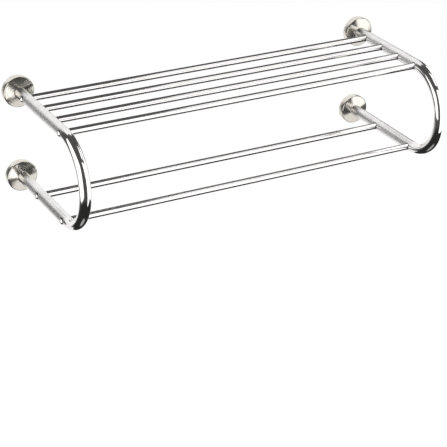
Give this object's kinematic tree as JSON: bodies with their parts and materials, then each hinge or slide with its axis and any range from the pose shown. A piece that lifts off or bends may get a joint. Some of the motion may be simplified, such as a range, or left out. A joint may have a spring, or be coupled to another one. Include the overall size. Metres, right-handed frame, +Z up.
{
  "type": "towel rack",
  "caption": "Wall-mounted towel rack: a rail shelf above towel rails, carried between bent tube side frames on round wall rosettes.",
  "frame": {"origin": "on the wall, in the middle of the four wall fixings", "axes": "+X along the rails to the right as seen from the room, +Y into the wall (the rack stands out to -Y), +Z up"},
  "size_m": [0.648, 0.2555, 0.186],
  "materials": {
    "frame_steel": "satin",
    "rail_steel": "satin",
    "rosette_steel": "satin",
    "polished_steel": "polished",
    "screw_steel": "satin",
    "cast_zinc": "matte",
    "brass_insert": "satin"
  },
  "bodies": {
    "root": {"left_side_frame": "frame_steel", "left_rail_bushes": "brass_insert", "left_rail_screws": "polished_steel", "right_side_frame": "frame_steel", "right_rail_bushes": "brass_insert", "right_rail_screws": "polished_steel", "shelf_rail_1": "rail_steel", "shelf_rail_2": "rail_steel", "shelf_rail_3": "rail_steel", "shelf_rail_4": "rail_steel", "towel_rail_rear": "rail_steel", "towel_rail_front": "rail_steel", "upper_left_rosette": "rosette_steel", "upper_left_wall_bracket": "cast_zinc", "upper_left_arm_plug": "brass_insert", "upper_right_rosette": "rosette_steel", "upper_right_wall_bracket": "cast_zinc", "upper_right_arm_plug": "brass_insert", "lower_left_rosette": "rosette_steel", "lower_left_wall_bracket": "cast_zinc", "lower_left_arm_plug": "brass_insert", "lower_right_rosette": "rosette_steel", "lower_right_wall_bracket": "cast_zinc", "lower_right_arm_plug": "brass_insert", "grub_screws": "screw_steel", "arm_screws": "screw_steel"}
  },
  "joints": []
}
